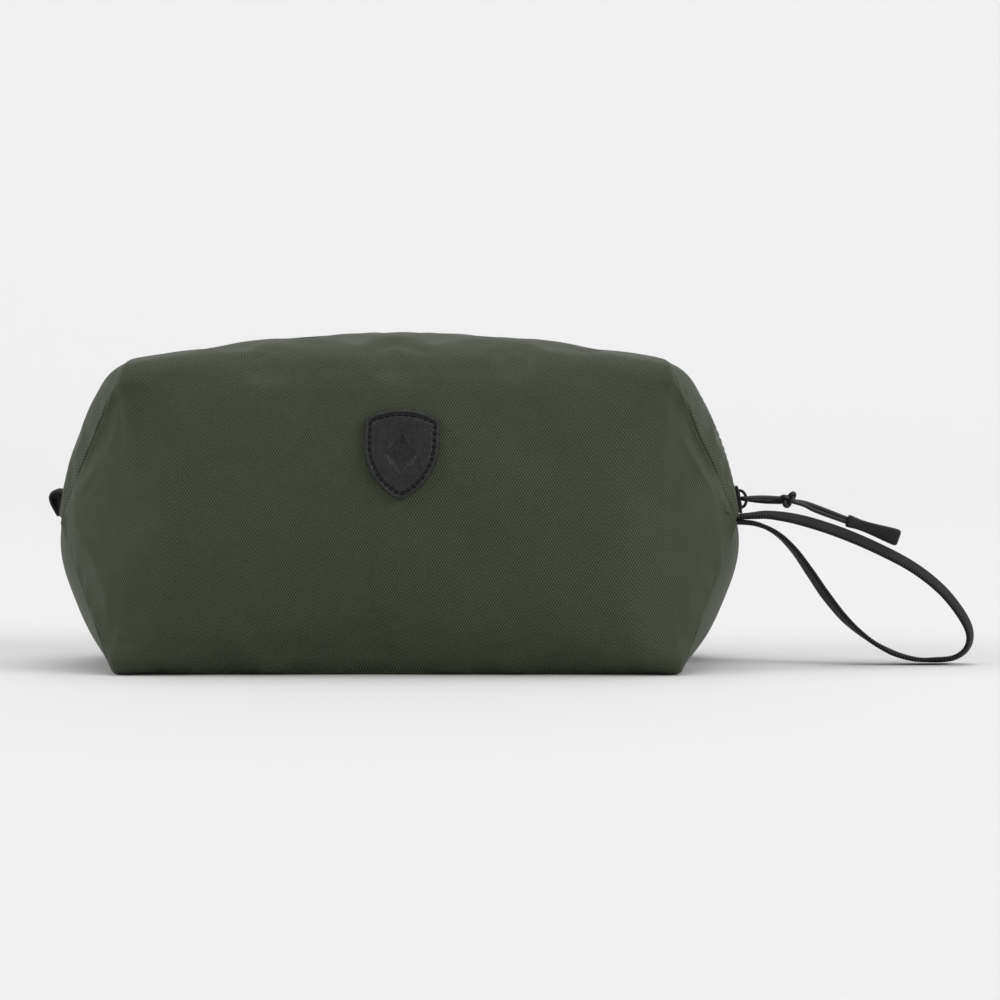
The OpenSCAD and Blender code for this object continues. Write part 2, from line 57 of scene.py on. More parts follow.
def makeCamera():
    data = bpy.data.cameras.new("camera")
    data.lens = view["lens"]
    data.clip_end = 30
    camera = bpy.data.objects.new("camera", data)
    bpy.context.collection.objects.link(camera)
    tilt = math.radians(view["elevation"])
    aim = Vector(view["aim"])
    camera.location = aim + view["distance"] * Vector((0, -math.cos(tilt), math.sin(tilt)))
    camera.rotation_euler = (math.pi / 2 - tilt, 0, 0)
    bpy.context.scene.camera = camera


makeCamera()


# One value or colour link in a material, with the operators that the patterns use
class Wire:
    def __init__(self, look, socket):
        self.look = look
        self.socket = socket

    def math(self, operation, first, second=None):
        values = {0: first}
        if second is not None:
            values[1] = second
        return self.look.node("ShaderNodeMath", {"operation": operation}, values)

    def __add__(self, other):
        return self.math("ADD", self, other)

    __radd__ = __add__

    def __mul__(self, other):
        return self.math("MULTIPLY", self, other)

    __rmul__ = __mul__

    def __sub__(self, other):
        return self.math("SUBTRACT", self, other)

    def __rsub__(self, other):
        return self.math("SUBTRACT", other, self)

    def __pow__(self, other):
        return self.math("POWER", self, other)

    def sin(self):
        return self.math("SINE", self)

    def abs(self):
        return self.math("ABSOLUTE", self)

    def above(self, edge):
        return self.math("GREATER_THAN", self, edge)

    def clamp(self):
        wire = self.math("MULTIPLY", self, 1.0)
        wire.socket.node.use_clamp = True
        return wire


# A material with a principled shader, and one method that adds any other kind of shader node
class Look:
    def __init__(self, name, **fixed):
        self.material = bpy.data.materials.new(name)
        self.material.use_nodes = True
        self.tree = self.material.node_tree
        self.shader = self.tree.nodes["Principled BSDF"]
        for socket, value in fixed.items():
            self.shader.inputs[socket.replace("_", " ")].default_value = value

    def node(self, kind, settings=None, values=None, out=0):
        made = self.tree.nodes.new(kind)
        for key, value in (settings or {}).items():
            setattr(made, key, value)
        for key, value in (values or {}).items():
            if isinstance(value, Wire):
                self.tree.links.new(value.socket, made.inputs[key])
            else:
                made.inputs[key].default_value = value
        return Wire(self, made.outputs[out])

    def place(self, out="Object"):
        return self.node("ShaderNodeTexCoord", out=out)

    def split(self, vector):
        node = self.node("ShaderNodeSeparateXYZ", values={0: vector}).socket.node
        return [Wire(self, socket) for socket in node.outputs]

    def noise(self, scale, detail=3, where=None, rough=0.5):
        return self.node("ShaderNodeTexNoise", values={
            "Vector": where or self.place(), "Scale": scale, "Detail": detail, "Roughness": rough})

    def mix(self, share, first, second):
        return self.node("ShaderNodeMix", {"data_type": "RGBA"}, {0: share, 6: first, 7: second}, out=2)

    def bump(self, height, distance, strength=1.0, under=None):
        values = {"Height": height, "Distance": distance, "Strength": strength}
        if under:
            values["Normal"] = under
        return self.node("ShaderNodeBump", values=values)

    def feed(self, **wires):
        for socket, wire in wires.items():
            self.tree.links.new(wire.socket, self.shader.inputs[socket.replace("_", " ")])
        return self.material


# Linear colour of a screen colour, given in steps of 255
def srgb(red, green, blue):
    steps = [c / 255 for c in (red, green, blue)]
    return (*[c / 12.92 if c < 0.04 else ((c + 0.055) / 1.055) ** 2.4 for c in steps], 1.0)


# coated cloth: its colours, its weave, and where the seam and the stitched hem lie across the cut panel
cutWidth = 190 * mm
cloth = dict(pitch=1.08 * mm, slant=0.62, base=srgb(62, 71, 50), deep=srgb(18, 21, 13), worn=srgb(88, 97, 72),
             seam=0.25 * cutWidth, hem=0.945 * cutWidth, stitch=2.6 * mm, seamColour=srgb(14, 15, 11))


def coatedCloth():
    look = Look("coated_cloth", Sheen_Weight=0.03, Sheen_Roughness=0.5, Specular_IOR_Level=0.32)
    u, v, w = look.split(look.place("UV"))
    turn = math.pi / cloth["pitch"]
    twill = ((u + v * cloth["slant"]) * turn).sin().abs()
    weft = ((u - v * cloth["slant"]) * turn).sin().abs()
    cell = (twill * weft) ** 0.6
    grain = look.noise(900, 2)
    blotch = look.noise(14, 4)
    fine = look.noise(160, 3)
    tone = look.mix((cell * 1.15 + (fine - 0.5) * 0.3).clamp(), cloth["deep"], cloth["base"])
    tone = look.mix(((blotch - 0.5) * 0.9 + (cell - 0.62) * 1.1).clamp(), tone, cloth["worn"])
    along, down = look.split(look.node("ShaderNodeUVMap", {"uv_map": "cut"}))[:2]
    ends = ((along.abs() - arcLengths[0]) * 300).clamp()
    seam = ends * (1 - ((down - cloth["seam"]).abs() * 1000).clamp())
    dash = ((along * (math.pi / cloth["stitch"])).sin().abs() - 0.45).above(0.0)
    hem = ends * (1 - ((down - cloth["hem"]).abs() * 450).clamp()) * (dash * 0.6 + 0.4)
    marks = (seam * 0.85 + hem).clamp()
    tone = look.mix(marks, tone, cloth["seamColour"])
    height = cell * 0.85 + grain * 0.1 + fine * 0.1 - seam * 2.5
    return look.feed(Base_Color=tone, Roughness=0.64 - cell * 0.2 + (blotch - 0.5) * 0.14,
                     Normal=look.bump(height, 0.2 * mm, 1.0))


# Black woven cloth in its own pitch, for the lining, the zip tape, the tab and the bindings
def wovenBlack(name, pitch, tone=16, lift=30, rough=0.72, depth=0.12 * mm, where="UV"):
    look = Look(name, Sheen_Weight=0.06, Sheen_Roughness=0.4, Specular_IOR_Level=0.3)
    u, v, w = look.split(look.place(where))
    warp = (u * (math.pi / pitch)).sin().abs()
    weft = (v * (math.pi / pitch)).sin().abs()
    weave = warp * 0.6 + weft * 0.4
    dust = look.noise(700, 3)
    dark = srgb(tone * 0.6, tone * 0.6, tone * 0.6)
    colour = look.mix((weave * 0.7 + dust * 0.3).clamp(), dark, srgb(lift, lift, lift + 1))
    normal = look.bump(weave + dust * 0.4, depth)
    return look.feed(Base_Color=colour, Roughness=rough + (dust - 0.5) * 0.2, Normal=normal)


def webbingLook():
    look = Look("webbing", Specular_IOR_Level=0.12)
    u, v, w = look.split(look.place("UV"))
    rib = ((u + v * strap["lean"]) * (math.pi / strap["ribPitch"])).sin().abs()
    threads = (v * (math.pi / (0.35 * mm))).sin().abs()
    dust = look.noise(900, 3)
    # Colour paints light and shade on the ribs: the crests are painted light as a painted highlight, and the
    # grooves near black as painted shade, with a little thread pattern and dust on top
    colour = look.mix((rib * 3.2 + threads * 0.1 + dust * 0.2 - 2.2).clamp(), srgb(1, 1, 1), srgb(60, 60, 61))
    normal = look.bump(rib * 0.7 + threads * 0.4 + dust * 0.2, 0.16 * mm)
    return look.feed(Base_Color=colour, Roughness=0.62 + (dust - 0.5) * 0.2, Normal=normal)


def leatherLook():
    look = Look("leather", Specular_IOR_Level=0.42, Coat_Weight=0.05, Coat_Roughness=0.3)
    where = look.place()
    pebble = look.node("ShaderNodeTexVoronoi", {"feature": "DISTANCE_TO_EDGE"},
                       {"Vector": where, "Scale": 1250.0})
    crease = look.noise(420, 4, where)
    soft = look.noise(90, 3, where)
    height = pebble * 2.6 + crease * 0.8
    colour = look.mix((soft * 0.5 + crease * 1.2 - 0.35).clamp(), srgb(5, 5, 5), srgb(27, 27, 27))
    normal = look.bump(height, 0.12 * mm, 1.0)
    return look.feed(Base_Color=colour, Roughness=0.36 + (soft - 0.5) * 0.3 + crease * 0.14, Normal=normal)


def metalLook():
    look = Look("black_metal", Coat_Weight=0.35, Coat_Roughness=0.2)
    wear = look.noise(350, 4)
    scratch = look.noise(1800, 3)
    colour = look.mix((wear * 1.6 - 0.6).clamp(), srgb(12, 12, 13), srgb(44, 44, 46))
    normal = look.bump(scratch + wear * 0.5, 0.02 * mm)
    return look.feed(Base_Color=colour, Metallic=0.55 + wear * 0.3, Roughness=0.26 + wear * 0.2,
                     Normal=normal)


def cordLook():
    look = Look("waxed_cord", Coat_Weight=0.2, Coat_Roughness=0.35)
    u, v, w = look.split(look.place("UV"))
    turn = math.pi / (0.5 * mm)
    braid = ((u * 1.2 + v) * turn).sin().abs() * ((u * 1.2 - v) * turn).sin().abs()
    wax = look.noise(500, 3)
    colour = look.mix((braid * 0.5 + wax * 0.4).clamp(), srgb(5, 5, 5), srgb(22, 22, 22))
    normal = look.bump(braid + wax * 0.4, 0.05 * mm)
    return look.feed(Base_Color=colour, Roughness=0.42 + wax * 0.16, Normal=normal)


def rubberLook():
    look = Look("grip_rubber", Specular_IOR_Level=0.4)
    mottle = look.noise(240, 4)
    skin = look.noise(2200, 2)
    colour = look.mix(mottle, srgb(15, 16, 15), srgb(33, 34, 31))
    normal = look.bump(skin + mottle * 0.6, 0.03 * mm)
    return look.feed(Base_Color=colour, Roughness=0.56 + (mottle - 0.5) * 0.2, Normal=normal)


def coilLook():
    look = Look("zip_coil", Coat_Weight=0.15)
    shade = look.noise(600, 3)
    colour = look.mix(shade, srgb(9, 9, 9), srgb(28, 28, 29))
    normal = look.bump(shade, 0.02 * mm)
    return look.feed(Base_Color=colour, Roughness=0.36 + shade * 0.14, Normal=normal)


def threadLook(name, dark, light):
    look = Look(name, Sheen_Weight=0.05, Specular_IOR_Level=0.3)
    u, v, w = look.split(look.place("Object"))
    twist = ((u + v + w) * (math.pi / (0.28 * mm))).sin().abs()
    colour = look.mix(twist, dark, light)
    normal = look.bump(twist, 0.05 * mm)
    return look.feed(Base_Color=colour, Roughness=0.6 + twist * 0.1, Normal=normal)


def foamLook():
    look = Look("foam")
    cells = look.node("ShaderNodeTexVoronoi", {}, {"Vector": look.place(), "Scale": 1200.0})
    tone = look.noise(60, 3)
    colour = look.mix(cells * 0.5 + tone * 0.4, srgb(214, 214, 208), srgb(176, 176, 170))
    return look.feed(Base_Color=colour, Roughness=0.8 + tone * 0.1, Normal=look.bump(cells, 0.12 * mm))


# shape of the bag, in metres, as the frame holds it
bag = dict(
    topDepth=104 * mm, cornerDepth=94 * mm, topLength=212 * mm, edgeHeight=127.5 * mm, cornerHeight=121 * mm,
    shoulderHeight=120 * mm, baseLength=220 * mm, baseDepth=108 * mm, endHeight=58 * mm, endWidth=36 * mm,
    faceCrown=8 * mm, gussetCrown=8 * mm, edgeRound=9 * mm, seamRound=3 * mm, baseRound=7 * mm,
    shoulderRadius=22 * mm, gussetRadius=130 * mm, gussetLean=math.radians(6), lip=6 * mm,
    tapeEdge=15.5 * mm, clothThickness=0.9 * mm, reach=0.975, baseReach=0.992, cheekLength=46 * mm,
    cheekRound=34 * mm, cheekDepth=6.5 * mm)
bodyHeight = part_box("front_shell")[1][2]
gussetCentre = Vector((joints["zip_travel"]["pos_m"][0], joints["zip_travel"]["pos_m"][2]))
endTip = gussetCentre.x + bag["gussetRadius"] * math.cos(bag["gussetLean"])


def lerp(a, b, t):
    return a + (b - a) * t


def smooth(t):
    t = min(max(t, 0.0), 1.0)
    return t * t * (3 - 2 * t)


def toward(a, b, distance):
    return a + (b - a).normalized() * distance


def bend(a, b, c, t):
    return lerp(lerp(a, b, t), lerp(b, c, t), t)


# Point of a rounded box section: the closer a power is to 0, the squarer its corners
def blunt(angle, width, height, widthPower, heightPower):
    cosine, sine = math.cos(angle), math.sin(angle)
    return (width * math.copysign(abs(cosine) ** widthPower, cosine),
            height * math.copysign(abs(sine) ** heightPower, sine))


# The zip's line is three arcs on each side: top, shoulder and end
def zipArcs():
    drop = bodyHeight - bag["shoulderHeight"]
    half = bag["topLength"] / 2
    topRadius = (half ** 2 + drop ** 2) / (2 * drop)
    topCentre = Vector((0, bodyHeight - topRadius))
    a, b = topRadius - bag["shoulderRadius"], bag["gussetRadius"] - bag["shoulderRadius"]
    gap = (gussetCentre - topCentre).length
    u = (gussetCentre - topCentre) / gap
    along = (a * a - b * b + gap * gap) / (2 * gap)
    centre = topCentre + along * u + math.sqrt(a * a - along * along) * Vector((u.y, -u.x))
    topTurn = math.atan2(centre.x - topCentre.x, centre.y - topCentre.y)
    endTurn = math.pi / 2 - math.atan2(centre.y - gussetCentre.y, centre.x - gussetCentre.x)
    return [(topCentre, topRadius, 0.0, topTurn), (centre, bag["shoulderRadius"], topTurn, endTurn),
            (gussetCentre, bag["gussetRadius"], endTurn, math.pi / 2 - bag["gussetLean"])]


arcs = zipArcs()
arcLengths = [radius * (b - a) for centre, radius, a, b in arcs]
halfLength = sum(arcLengths)
zipReach = arcLengths[0] + (halfLength - arcLengths[0]) * bag["reach"]


# Point on the zip's line at a distance from the middle of the bag, and the direction out of the bag there
def zipPlace(distance):
    side = -1 if distance < 0 else 1
    left = abs(distance)
    for (centre, radius, a, b), length in zip(arcs, arcLengths):
        if left <= length or centre is arcs[-1][0]:
            turn = a + left / radius
            out = Vector((side * math.sin(turn), 0, math.cos(turn)))
            return Vector((side * centre.x, 0, centre.y)) + radius * out, out
        left -= length


def corner(side, length, depth, height):
    return Vector((side * length / 2, -depth / 2, height))


# Where one cross-section of the cloth meets the zip, the top edge, the base edge and the base's middle
def station(distance):
    side = -1 if distance < 0 else 1
    top = arcLengths[0]
    place, out = zipPlace(distance)
    share = min(abs(distance) / top, 1.0)
    k = max(0.0, (abs(distance) - top) / (halfLength - top))
    bow = 1 - share * share
    seamEnd = Vector((side * (endTip - 1 * mm), -bag["endWidth"] / 2, bag["endHeight"]))
    if k > 0:
        edge = lerp(corner(side, bag["topLength"], bag["cornerDepth"], bag["cornerHeight"]), seamEnd, k)
        foot = lerp(corner(side, bag["baseLength"], bag["baseDepth"], 0), seamEnd, k)
        low = Vector((side * bag["baseLength"] / 2, 0, 0))
        high = Vector((side * (endTip - 0.6 * mm), 0, bag["endHeight"]))
        away = Vector((side * bag["endHeight"], 0, bag["baseLength"] / 2 - endTip)).normalized()
        middle = lerp(low, high, k) + away * bag["gussetCrown"] * (1 - abs(2 * k - 1) ** 3)
    else:
        depth = lerp(bag["cornerDepth"], bag["topDepth"], bow)
        height = lerp(bag["cornerHeight"], bag["edgeHeight"], bow)
        edge = Vector((side * share * bag["topLength"] / 2, -depth / 2, height))
        foot = Vector((side * share * bag["baseLength"] / 2, -bag["baseDepth"] / 2, 0))
        middle = Vector((foot.x, 0, 0))
    return place, out, edge, foot, middle, share, k


def faceCrown(share, k):
    return bag["faceCrown"] * (0.65 * (1 - k) if k > 0 else 1 - 0.35 * share * share)


def hemPoint(edge, foot, middle, k):
    size = (edge - foot).length
    inset = lerp(min(bag["baseRound"], 0.3 * size), min(1.6 * mm, 0.2 * size), smooth(k / 0.12))
    return toward(foot, middle, inset)


# Shares of the panel's width that belong to the zip's flat, the top, the edge, the face and the base edge
bands = [0.05, 0.2, 0.3, 0.88, 1.0]


def frontPoint(s, t):
    distance = (2 * s - 1) * zipReach
    place, out, edge, foot, middle, share, k = station(distance)
    size = (edge - foot).length
    softness = smooth(k / 0.15)
    edgeRound = min(lerp(bag["edgeRound"], bag["seamRound"], softness), 0.3 * size)
    baseRound = min(lerp(bag["baseRound"], bag["seamRound"], softness), 0.3 * size)
    first = place - Vector((0, bag["lip"], 0))
    second = place - Vector((0, bag["tapeEdge"], 0))
    a = toward(edge, second, min(edgeRound, 0.8 * (second - edge).length))
    c = toward(edge, foot, edgeRound)
    d = toward(foot, edge, baseRound)
    hem = hemPoint(edge, foot, middle, k)
    if t < bands[0]:
        return lerp(first, second, t / bands[0])
    if t < bands[1]:
        w = (t - bands[0]) / (bands[1] - bands[0])
        swell = out * math.sin(math.pi * w) * 2.6 * mm * lerp(0.35, 1.0, softness)
        return lerp(second, a, w) + swell * (1 - k)
    if t < bands[2]:
        return bend(a, edge, c, (t - bands[1]) / (bands[2] - bands[1]))
    if t < bands[3]:
        w = (t - bands[2]) / (bands[3] - bands[2])
        away = ((1 - share) * bag["topLength"] / 2 if k == 0 else k * bag["cheekLength"]) / bag["cheekRound"]
        cheek = bag["cheekDepth"] * max(0, 1 - away) ** 2 * math.sin(math.pi * w) ** 0.6
        side = -1 if distance < 0 else 1
        crowned = lerp(c, d, w) - Vector((0, faceCrown(share, k) * math.sin(math.pi * w), 0))
        return crowned + Vector((-side * 0.42, 0.9, 0)) * cheek
    return bend(d, foot, hem, (t - bands[3]) / (1 - bands[3]))


# Point on the base panel, along the bag and across it from the front hem to the back hem
def basePoint(s, t):
    flat, rise = bag["baseLength"] / 2, 62 * mm
    along = (2 * s - 1) * (flat + rise)
    side = -1 if along < 0 else 1
    v = 2 * t - 1
    if abs(along) <= flat:
        half = bag["baseDepth"] / 2 - bag["baseRound"] - 0.3 * mm
        soften = smooth((abs(along) - flat + 5 * mm) / (5 * mm))
        return Vector((along, v * half, 0.8 * mm * soften * soften))
    k = (abs(along) - flat) / rise * bag["baseReach"]
    distance = arcLengths[0] + (halfLength - arcLengths[0]) * max(k, 1e-4)
    place, out, edge, foot, middle, share, k = station(side * distance)
    hem = hemPoint(edge, foot, middle, k)
    bulge = 1 - v * v
    return Vector((lerp(hem.x, middle.x, bulge), -v * (hem.y + 0.3 * mm), lerp(hem.z, middle.z, bulge)))


def newObject(name, bm, look=None, smoothFaces=True):
    data = bpy.data.meshes.new(name)
    for face in bm.faces:
        face.smooth = smoothFaces
    bm.to_mesh(data)
    bm.free()
    piece = bpy.data.objects.new(name, data)
    bpy.context.collection.objects.link(piece)
    if look:
        data.materials.append(look)
    return piece


# A grid laid over a surface: shape gives each point, spread gives its cloth size for the weave
def laidGrid(columns, rows, shape, spread):
    bm = bmesh.new()
    bmesh.ops.create_grid(bm, x_segments=columns, y_segments=rows, size=1)
    layer = bm.loops.layers.uv.new("weave")
    marks = bm.verts.layers.float_vector.new("share")
    for v in bm.verts:
        v[marks] = ((v.co.x + 1) / 2, (v.co.y + 1) / 2, 0)
    for face in bm.faces:
        for loop in face.loops:
            loop[layer].uv = spread(*loop.vert[marks].xy)
    for v in bm.verts:
        v.co = shape(*v[marks].xy)
    return bm


def closeTube(bm):
    bmesh.ops.remove_doubles(bm, verts=bm.verts, dist=1e-6)
    bmesh.ops.holes_fill(bm, edges=bm.edges, sides=0)
    bmesh.ops.recalc_face_normals(bm, faces=bm.faces)


def joinMeshes(parts):
    bm = parts[0]
    for other in parts[1:]:
        data = bpy.data.meshes.new("part")
        other.to_mesh(data)
        other.free()
        bm.from_mesh(data)
        bpy.data.meshes.remove(data)
    return bm


def finishPiece(piece, body, slot, replaces=()):
    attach(piece, body)
    if replaces:
        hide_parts(*replaces)
    return piece


def addModifier(piece, kind, **settings):
    modifier = piece.modifiers.new(kind.lower(), kind)
    for key, value in settings.items():
        setattr(modifier, key, value)
    return modifier


# Point of a smooth curve through all the points, between point i and the next
def splinePoint(points, i, t):
    a, b = points[max(i - 1, 0)], points[i]
    c, d = points[min(i + 1, len(points) - 1)], points[min(i + 2, len(points) - 1)]
    bent = (2 * a - 5 * b + 4 * c - d) * t * t + (3 * b - a - 3 * c + d) * t ** 3
    return 0.5 * (2 * b + (c - a) * t + bent)


def smoothLine(points, steps):
    points = [Vector(p) for p in points]
    line = [splinePoint(points, i, s / steps) for i in range(len(points) - 1) for s in range(steps)]
    return line + [points[-1].copy()]


# A line with evenly spaced lookup by distance
class Line:
    def __init__(self, points):
        self.points = points
        self.marks = [0.0]
        for a, b in zip(points, points[1:]):
            self.marks.append(self.marks[-1] + (b - a).length)
        self.length = self.marks[-1]

    def at(self, distance):
        distance = min(max(distance, 0.0), self.length)
        low, high = 0, len(self.marks) - 1
        while high - low > 1:
            middle = (low + high) // 2
            if self.marks[middle] <= distance:
                low = middle
            else:
                high = middle
        span = self.marks[high] - self.marks[low] or 1
        t = (distance - self.marks[low]) / span
        return lerp(self.points[low], self.points[high], t), low + t

    def heading(self, distance):
        step = min(0.6 * mm, self.length / 20)
        return (self.at(distance + step)[0] - self.at(distance - step)[0]).normalized()


# A tube along a line, with its section as (across, up) for each angle and distance. Its across
# starts along Y, and a turned tube carries it on from ring to ring
def tubeMesh(line, columns, rows, section, girth=6 * mm, turned=False, spread=None):
    frames = []
    wide = Vector((0, 1, 0))
    for i in range(columns + 1):
        distance = line.length * i / columns
        along = line.heading(distance)
        if i == 0 and abs(along.y) > 0.9:
            wide = Vector((0, 0, 1))
        elif not turned:
            wide = Vector((0, 1, 0))
        wide = (wide - along * wide.dot(along)).normalized()
        frames.append((line.at(distance)[0], wide, along.cross(wide)))

    def shape(s, t):
        centre, wide, up = frames[round(s * columns)]
        across, high = section(t * 2 * math.pi, s * line.length)
        return centre + wide * across + up * high

    bm = laidGrid(columns, rows, shape, spread or (lambda s, t: (s * line.length, t * girth)))
    closeTube(bm)
    return bm


# wrist strap: its route gives x, y and z in millimetres and how far the webbing leans there
strap = dict(
    width=10 * mm, thickness=1.6 * mm, ribPitch=1.2 * mm, ribDepth=0.34 * mm, visibleRoll=2.1, lean=0.45,
    route=[
        (133.4, -6, 58.9, 0), (140, -6, 59.4, 2), (148, -6, 59.7, 5), (161, -6, 57.4, 8),
        (177, -6, 52.2, 9), (193, -6, 45.2, 9), (206, -6, 38, 9), (217, -6, 29, 9),
        (225, -6, 18.6, 9), (227.6, -6, 11.5, 8), (226, -6, 6, 7), (221, -6, 2.6, 5),
        (213, -6, 1.8, 4), (205, -6, 2.2, 1), (196, -6.5, 5, -1), (187, -7, 10.2, 1),
        (178, -7, 17.8, 5), (170, -7, 27.5, 7), (163.5, -7, 37, 6), (157, -6.5, 46, 4),
        (150, -6, 52.6, 2), (142, -6, 56.2, 0), (133.4, -6, 57, 0)])


def makeStrap(look):
    route = strap["route"]
    steps = 8
    line = Line(smoothLine([Vector(p[:3]) * mm for p in route], steps))

    def corners(angle):
        return blunt(angle, strap["width"] / 2, strap["thickness"] / 2, 0.35, 0.5)

    def section(angle, distance):
        index = line.at(distance)[1] / steps
        low = min(int(index), len(route) - 2)
        roll = math.radians(strap["visibleRoll"] * lerp(route[low][3], route[low + 1][3], index - low))
        x, y = corners(angle)
        rib = abs(math.sin(math.pi * (distance + x * strap["lean"]) / strap["ribPitch"])) - 0.6
        x += math.copysign(rib * strap["ribDepth"] * abs(math.cos(angle)) ** 3, x)
        y += math.copysign(rib * strap["ribDepth"], y) * abs(math.sin(angle)) ** 0.5
        return x * math.cos(roll) - y * math.sin(roll), x * math.sin(roll) + y * math.cos(roll)

    columns = 1500
    bm = tubeMesh(line, columns, 24, section,
                  spread=lambda s, t: (s * line.length, corners(t * 2 * math.pi)[0]))
    piece = newObject("webbing_loop", bm, look)
    finishPiece(piece, "bag", "webbing", ["wrist_strap"])
    tuple(line.points[0])
    [tuple(p) for p in line.points]
    print("wrist strap", round(line.length, 4), "m")


makeStrap(webbingLook())

# pale floor that rises into a wall behind the bag
stage = dict(front=-3.0, flat=1.4, radius=1.2, length=7.0, halfWidth=5, tone=0.75)


def makeStage():
    bm = bmesh.new()
    bmesh.ops.create_grid(bm, x_segments=1, y_segments=24, size=1)
    flat, radius = stage["flat"], stage["radius"]
    for v in bm.verts:
        s = (v.co.y + 1) / 2 * stage["length"] + stage["front"]
        turn = min(max((s - flat) / radius, 0), math.pi / 2)
        y = min(s, flat) + radius * math.sin(turn)
        z = radius * (1 - math.cos(turn)) + max(0, s - flat - radius * math.pi / 2)
        v.co = (v.co.x * stage["halfWidth"], y, z)
    tone = stage["tone"]
    look = Look("pale_floor", Roughness=0.9, Specular_IOR_Level=0.05, Base_Color=(tone, tone, tone, 1))
    floor = newObject("floor", bm, look.material)


lights = dict(
    left=dict(place=(-4.2, -1.0, 2.6), size=2.6, power=100),
    right=dict(place=(4.4, -1.8, 2.8), size=2.6, power=155),
    top=dict(place=(0.2, 0.5, 4.6), size=3.0, power=90))
worldLight = 0.34


def makeLights():
    for name, lamp in lights.items():
        data = bpy.data.lights.new(name, "AREA")
        data.shape = "SQUARE"
        data.size = lamp["size"]
        data.energy = lamp["power"]
        light = bpy.data.objects.new(name, data)
        light.location = lamp["place"]
        light.rotation_euler = (Vector((0, 0, 0.06)) - light.location).to_track_quat("-Z", "Y").to_euler()
        bpy.context.collection.objects.link(light)
    world = bpy.data.worlds.new("studio")
    world.use_nodes = True
    world.node_tree.nodes["Background"].inputs["Color"].default_value = (1, 1, 1, 1)
    world.node_tree.nodes["Background"].inputs["Strength"].default_value = worldLight
    bpy.context.scene.world = world


makeStage()
makeLights()
bpy.context.scene.view_settings.view_transform = "Standard"
print("floor and lights done")

# cloth panels: a short simulation fills them out, and keeps a share of the motion under a cap
panel = dict(columns=128, rows=64, pressure=3.0, frames=18, cap=4.0 * mm, keep=0.75)


# The panel's place on the flat cloth: the top and gussets run along the zip, the face hangs from its top edge
def panelSpread(s, t, point, onFront):
    distance = (2 * s - 1) * zipReach
    if not onFront:
        return distance, abs(point.y)
    side = -1 if distance < 0 else 1
    edge = station(side * min(abs(distance), arcLengths[0] * 0.9999))[2]
    beyond = max(0.0, abs(point.x) - bag["topLength"] / 2)
    return point.x + side * beyond * 0.5, abs(edge.y) + edge.z - point.z


# Soft dents that the seams pull into the cloth: centre, direction, half-length, half-width and depth
folds = dict(
    front=[
        ((114, -44, 92), (0.35, 0.1, -1.0), 20, 3.2, 1.6), ((121, -34, 84), (0.5, 0.2, -1.0), 16, 2.6, 1.2),
        ((129, -24, 60), (0.2, 0.4, -1.0), 14, 4.0, 1.5), ((-117, -38, 84), (-0.45, 0.2, -1.0), 18, 3.0, 0.9),
        ((108, -48, 108), (0.8, 0.3, -0.7), 12, 3.0, 1.1), ((-42, -36, 129), (1.0, -0.4, 0.0), 12, 2.6, 0.5),
        ((-4, -42, 129), (1.0, 0.3, 0.0), 10, 2.4, 0.4),
        ((124, -26, 34), (0.4, -0.3, -1.0), 16, 3.0, 0.9)],
    back=[
        ((-112, -44, 94), (-0.35, 0.1, -1.0), 20, 3.2, 1.5), ((118, -38, 88), (0.5, 0.2, -1.0), 16, 3.0, 1.1),
        ((30, -40, 131), (1.0, -0.3, 0.0), 16, 2.4, 0.7), ((-60, -38, 129), (1.0, 0.3, 0.0), 14, 2.2, 0.6),
        ((124, -26, 36), (0.4, -0.3, -1.0), 16, 3.0, 0.9)])


def foldDepth(point, side):
    total = 0.0
    for centre, way, length, width, depth in folds[side]:
        way = Vector(way).normalized()
        offset = point / mm - Vector(centre)
        along = offset.dot(way)
        across = (offset - along * way).length
        total += depth * mm * math.exp(-(along / length) ** 2 - (across / width) ** 2)
    return total


def makePanelCloth(side, seed):
    bm = laidGrid(panel["columns"], panel["rows"], frontPoint,
                  lambda s, t: ((2 * s - 1) * zipReach, t * cutWidth))
    marks = bm.verts.layers.float_vector["share"]
    cut = bm.loops.layers.uv.new("cut")
    weave = bm.loops.layers.uv["weave"]
    for face in bm.faces:
        onFront = sum(v[marks].y for v in face.verts) / len(face.verts) > 0.25
        for loop in face.loops:
            loop[cut].uv = loop[weave].uv
            loop[weave].uv = panelSpread(*loop.vert[marks].xy, loop.vert.co, onFront)
    bmesh.ops.recalc_face_normals(bm, faces=bm.faces)
    bm.normal_update()
    middle = min(bm.verts, key=lambda v: (v[marks] - Vector((0.5, 0.6, 0))).length)
    if middle.normal.y > 0:
        bmesh.ops.reverse_faces(bm, faces=bm.faces)
    piece = newObject(side + "_cloth", bm)
    relaxCloth(piece, seed)
    mesh = piece.data
    share = mesh.attributes["share"].data
    for v, mark in zip(mesh.vertices, share):
        s, t = mark.vector[0], mark.vector[1]
        hold = smooth(min(t / 0.08, (1 - t) / 0.06, s / 0.06, (1 - s) / 0.06))
        k = (abs(2 * s - 1) * zipReach - arcLengths[0]) / (halfLength - arcLengths[0])
        groove = 0.9 * mm * smooth(k / 0.1) * smooth((0.8 - k) / 0.3) * max(0.0, 1 - abs(t - 0.25) / 0.016)
        calm = lerp(0.35, 1.0, smooth((t - 0.2) / 0.15))
        wander = noise.noise(v.co / (34 * mm) + Vector((seed * 7.3, 0, 0))) * 0.8 * mm * calm
        ripple = noise.noise(v.co / (11 * mm) + Vector((0, seed * 3.1, 0))) * 0.16 * mm
        v.co += v.normal * hold * (wander + ripple - groove - foldDepth(v.co, side))
    return piece


